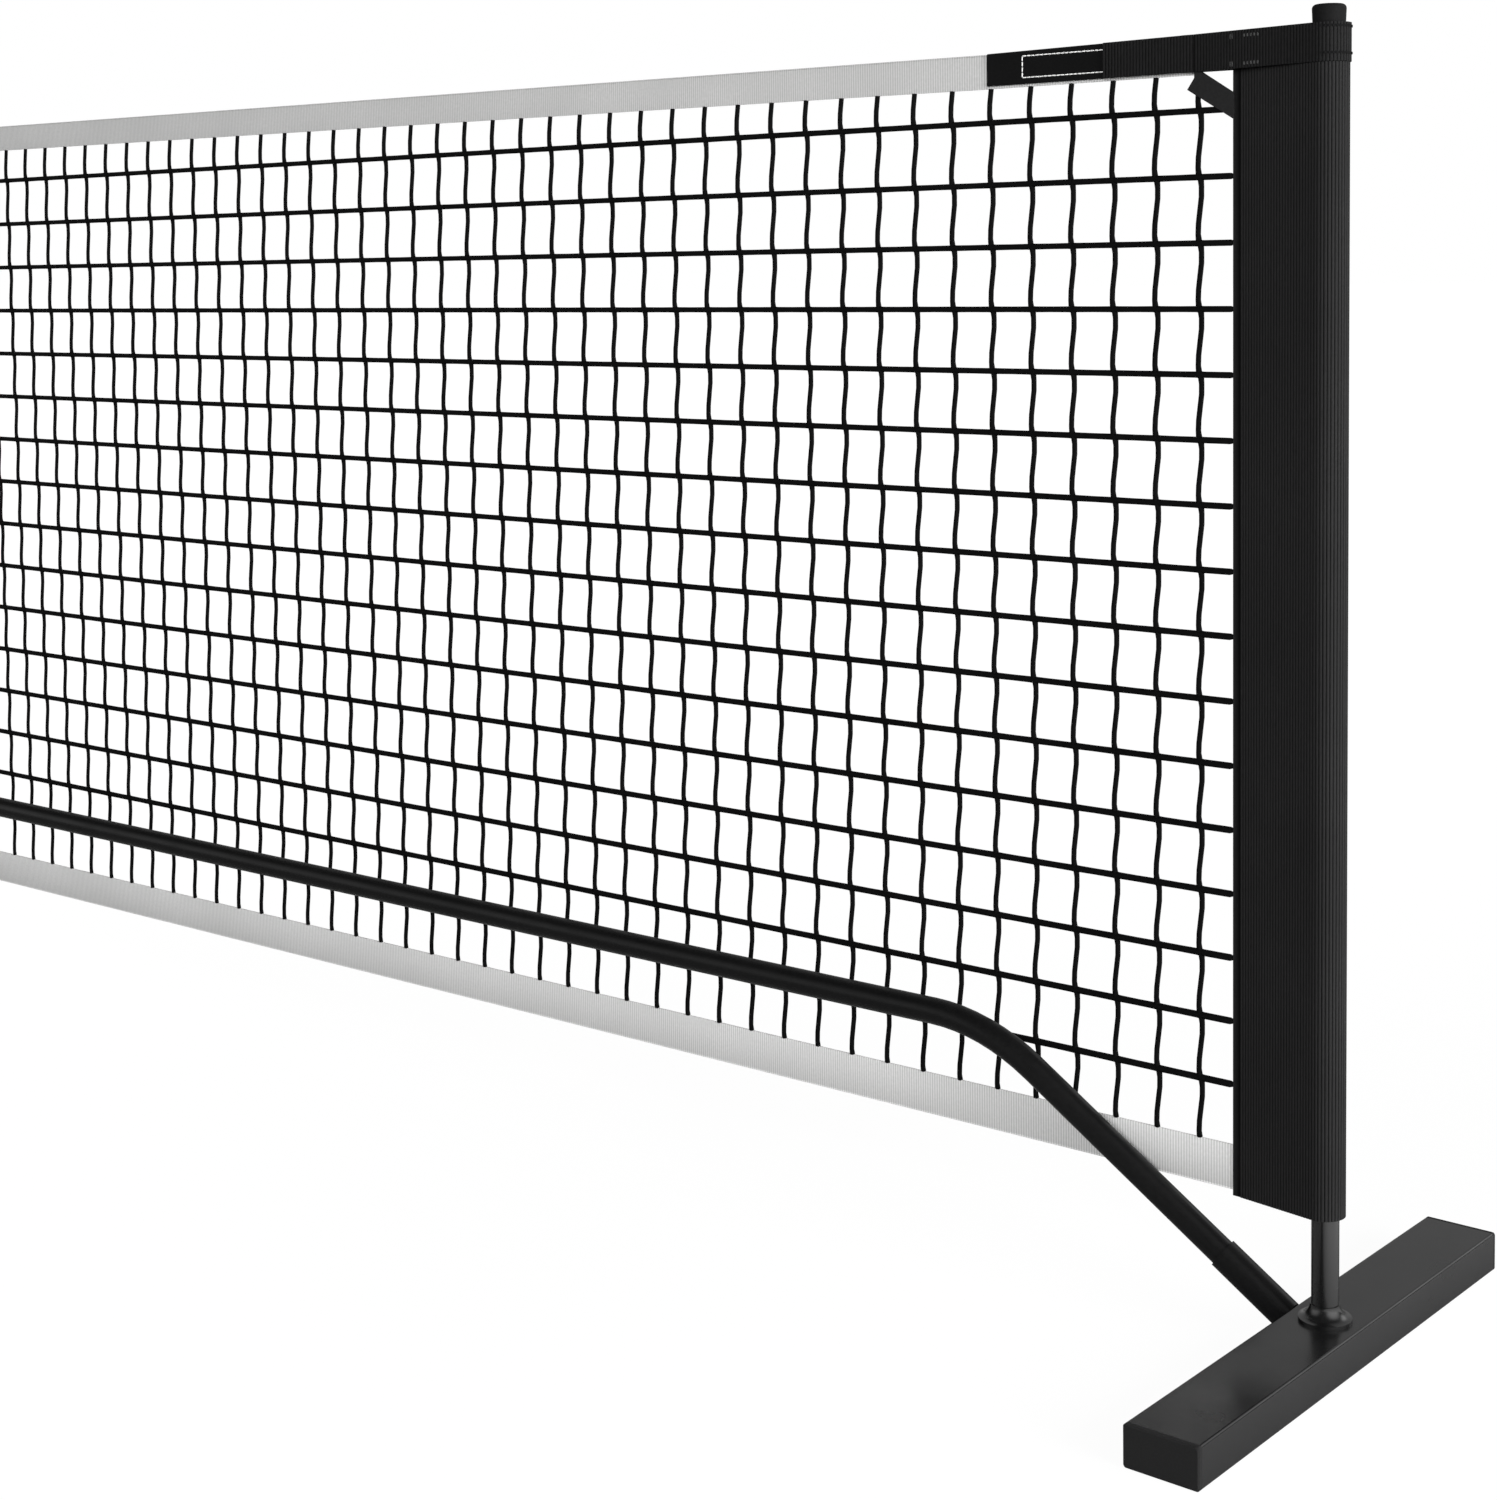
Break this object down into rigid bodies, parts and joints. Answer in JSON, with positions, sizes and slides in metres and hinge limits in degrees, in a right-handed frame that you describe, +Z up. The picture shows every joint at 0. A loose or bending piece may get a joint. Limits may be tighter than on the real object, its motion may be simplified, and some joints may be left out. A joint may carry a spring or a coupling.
{
  "type": "pickleball portable net",
  "caption": "Portable court net: lift-off posts on flat feet, a plug-together crossbar with snap buttons, a centre stand, and a taped mesh net with fabric sleeves.",
  "frame": {"origin": "on the ground under the middle of the net, between the two posts", "axes": "+X along the net towards the right post, +Y away from the side where the crossbar runs, +Z up"},
  "size_m": [6.761, 0.44, 0.9295],
  "materials": {
    "tube_steel": "satin black powder coat",
    "cap_plastic": "moulded black",
    "sleeve_fabric": "black ribbed fabric",
    "patch_fabric": "smooth black coated fabric",
    "webbing": "black ribbed webbing",
    "white_tape": "off-white ribbed tape",
    "net_cord": "knotted black cord",
    "bright_steel": "bright spring steel",
    "rod_fibre": "satin black fibreglass"
  },
  "bodies": {
    "base_frame": {"right_foot_bar": "tube_steel", "right_foot_caps": "cap_plastic", "right_base_collar": "tube_steel", "right_post_stub": "tube_steel", "right_leg_socket": "tube_steel", "left_foot_bar": "tube_steel", "left_foot_caps": "cap_plastic", "left_base_collar": "tube_steel", "left_post_stub": "tube_steel", "left_leg_socket": "tube_steel", "right_bent_bar": "tube_steel", "left_bent_bar": "tube_steel", "right_straight_bar": "tube_steel", "left_straight_bar": "tube_steel", "centre_bar": "tube_steel", "centre_tee": "cap_plastic", "centre_leg": "tube_steel", "centre_base_collar": "tube_steel", "centre_foot_bar": "tube_steel", "centre_foot_caps": "cap_plastic", "button_clips": "bright_steel"},
    "right_post": {"right_post_tube": "tube_steel", "right_post_cap": "cap_plastic"},
    "left_post": {"left_post_tube": "tube_steel", "left_post_cap": "cap_plastic"},
    "centre_rod": {"centre_rod": "rod_fibre", "rod_tip": "cap_plastic"},
    "height_knob": {"height_knob": "cap_plastic"},
    "right_strap_flap": {"right_strap_flap": "webbing"},
    "left_strap_flap": {"left_strap_flap": "webbing"},
    "right_leg_button": {"right_leg_button": "bright_steel"},
    "right_outer_button": {"right_outer_button": "bright_steel"},
    "right_inner_button": {"right_inner_button": "bright_steel"},
    "left_leg_button": {"left_leg_button": "bright_steel"},
    "left_outer_button": {"left_outer_button": "bright_steel"},
    "left_inner_button": {"left_inner_button": "bright_steel"},
    "net": {"net_mesh": "net_cord", "top_tape": "white_tape", "bottom_tape": "white_tape", "centre_pocket": "webbing", "right_sleeve": "sleeve_fabric", "right_top_strap": "webbing", "right_strap_patch": "patch_fabric", "right_corner_tab": "webbing", "left_sleeve": "sleeve_fabric", "left_top_strap": "webbing", "left_strap_patch": "patch_fabric", "left_corner_tab": "webbing"}
  },
  "joints": [
    {"name": "right_post_lift", "type": "slide", "parent": "base_frame", "child": "right_post", "axis": [0, 0, 1], "range_m": [0, 0.12]},
    {"name": "left_post_lift", "type": "slide", "parent": "base_frame", "child": "left_post", "axis": [0, 0, 1], "range_m": [0, 0.12]},
    {"name": "net_lift", "type": "slide", "parent": "base_frame", "child": "net", "axis": [0, 0, 1], "range_m": [0, 0.15]},
    {"name": "centre_rod_height", "type": "slide", "parent": "base_frame", "child": "centre_rod", "axis": [0, 0, 1], "range_m": [-0.12, 0]},
    {"name": "height_knob_turn", "type": "hinge", "parent": "base_frame", "child": "height_knob", "pos_m": [0, -0.0178, 0.226], "axis": [0, -1, 0], "range_deg": [0, 360]},
    {"name": "right_strap_flap_open", "type": "hinge", "parent": "net", "child": "right_strap_flap", "pos_m": [3.249, 0.002, 0.9016], "axis": [0, 0, 1], "range_deg": [0, 110]},
    {"name": "left_strap_flap_open", "type": "hinge", "parent": "net", "child": "left_strap_flap", "pos_m": [-3.249, 0.002, 0.9016], "axis": [0, 0, -1], "range_deg": [0, 110]},
    {"name": "right_leg_button_press", "type": "slide", "parent": "base_frame", "child": "right_leg_button", "axis": [0, -0.9825, -0.1864], "range_m": [0, 0.0039], "stiffness_N_per_m": 2600, "deforming": ["button_clips"]},
    {"name": "right_outer_button_press", "type": "slide", "parent": "base_frame", "child": "right_outer_button", "axis": [0, -1, 0], "range_m": [0, 0.0039], "stiffness_N_per_m": 2600, "deforming": ["button_clips"]},
    {"name": "right_inner_button_press", "type": "slide", "parent": "base_frame", "child": "right_inner_button", "axis": [0, -1, 0], "range_m": [0, 0.0039], "stiffness_N_per_m": 2600, "deforming": ["button_clips"]},
    {"name": "left_leg_button_press", "type": "slide", "parent": "base_frame", "child": "left_leg_button", "axis": [0, -0.9825, -0.1864], "range_m": [0, 0.0039], "stiffness_N_per_m": 2600, "deforming": ["button_clips"]},
    {"name": "left_outer_button_press", "type": "slide", "parent": "base_frame", "child": "left_outer_button", "axis": [0, -1, 0], "range_m": [0, 0.0039], "stiffness_N_per_m": 2600, "deforming": ["button_clips"]},
    {"name": "left_inner_button_press", "type": "slide", "parent": "base_frame", "child": "left_inner_button", "axis": [0, -1, 0], "range_m": [0, 0.0039], "stiffness_N_per_m": 2600, "deforming": ["button_clips"]}
  ]
}
